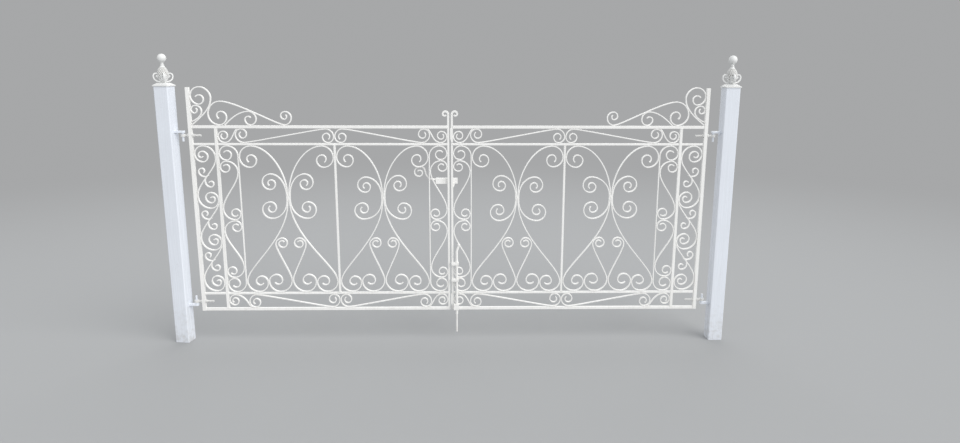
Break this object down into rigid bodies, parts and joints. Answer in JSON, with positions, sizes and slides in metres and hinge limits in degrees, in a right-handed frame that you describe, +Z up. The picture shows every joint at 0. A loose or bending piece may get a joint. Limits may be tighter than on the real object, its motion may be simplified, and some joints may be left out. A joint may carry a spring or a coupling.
{
  "type": "wrought iron driveway gate",
  "caption": "White wrought iron driveway gate: a pair of scrollwork leaves with falling crest scrolls, hung between square posts with ball finials",
  "frame": {"origin": "the middle of the left post's foot, on its flat underside", "axes": "X runs along the closed gate from the left post to the right post, Y points away from the drive in front of the gate, Z points up"},
  "size_m": [3.3673, 0.11, 1.7158],
  "materials": {
    "gate_paint": "semi_gloss",
    "post_paint": "semi_gloss",
    "finial_paint": "satin",
    "worn_metal": "satin"
  },
  "bodies": {
    "posts": {"left_post": "post_paint", "right_post": "post_paint", "left_finial": "finial_paint", "right_finial": "finial_paint", "left_top_gudgeon": "post_paint", "left_bottom_gudgeon": "post_paint", "right_top_gudgeon": "post_paint", "right_bottom_gudgeon": "post_paint"},
    "left_leaf": {"left_hanging_stile": "gate_paint", "left_meeting_stile": "gate_paint", "left_top_rails": "gate_paint", "left_bottom_rails": "gate_paint", "left_square_bar": "gate_paint", "left_middle_bar": "gate_paint", "left_crest_scrolls": "gate_paint", "left_top_band_scrolls": "gate_paint", "left_bottom_band_scrolls": "gate_paint", "left_hinge_panel_scrolls": "gate_paint", "left_side_panel_scrolls": "gate_paint", "left_outer_bay_scrolls": "gate_paint", "left_inner_bay_scrolls": "gate_paint", "left_meeting_panel_scrolls": "gate_paint", "left_top_eye_bolt": "worn_metal", "left_bottom_eye_bolt": "worn_metal", "latch_case": "gate_paint"},
    "right_leaf": {"right_hanging_stile": "gate_paint", "right_meeting_stile": "gate_paint", "right_top_rails": "gate_paint", "right_bottom_rails": "gate_paint", "right_square_bar": "gate_paint", "right_middle_bar": "gate_paint", "right_crest_scrolls": "gate_paint", "right_top_band_scrolls": "gate_paint", "right_bottom_band_scrolls": "gate_paint", "right_hinge_panel_scrolls": "gate_paint", "right_side_panel_scrolls": "gate_paint", "right_outer_bay_scrolls": "gate_paint", "right_inner_bay_scrolls": "gate_paint", "right_meeting_panel_scrolls": "gate_paint", "right_top_eye_bolt": "worn_metal", "right_bottom_eye_bolt": "worn_metal", "latch_keep": "gate_paint", "drop_bolt_guides": "gate_paint"},
    "latch": {"latch_bolt": "gate_paint"},
    "drop": {"drop_bolt": "gate_paint"}
  },
  "joints": [
    {"name": "left_leaf_swing", "type": "hinge", "parent": "posts", "child": "left_leaf", "pos_m": [0.085, 0, 1.255], "axis": [0, 0, 1], "range_deg": [0, 90]},
    {"name": "right_leaf_swing", "type": "hinge", "parent": "posts", "child": "right_leaf", "pos_m": [3.175, 0, 1.255], "axis": [0, 0, -1], "range_deg": [0, 90]},
    {"name": "latch_slide", "type": "slide", "parent": "left_leaf", "child": "latch", "axis": [1, 0, 0], "range_m": [0, 0.022]},
    {"name": "drop_bolt_lift", "type": "slide", "parent": "right_leaf", "child": "drop", "axis": [0, 0, 1], "range_m": [0, 0.1]}
  ]
}
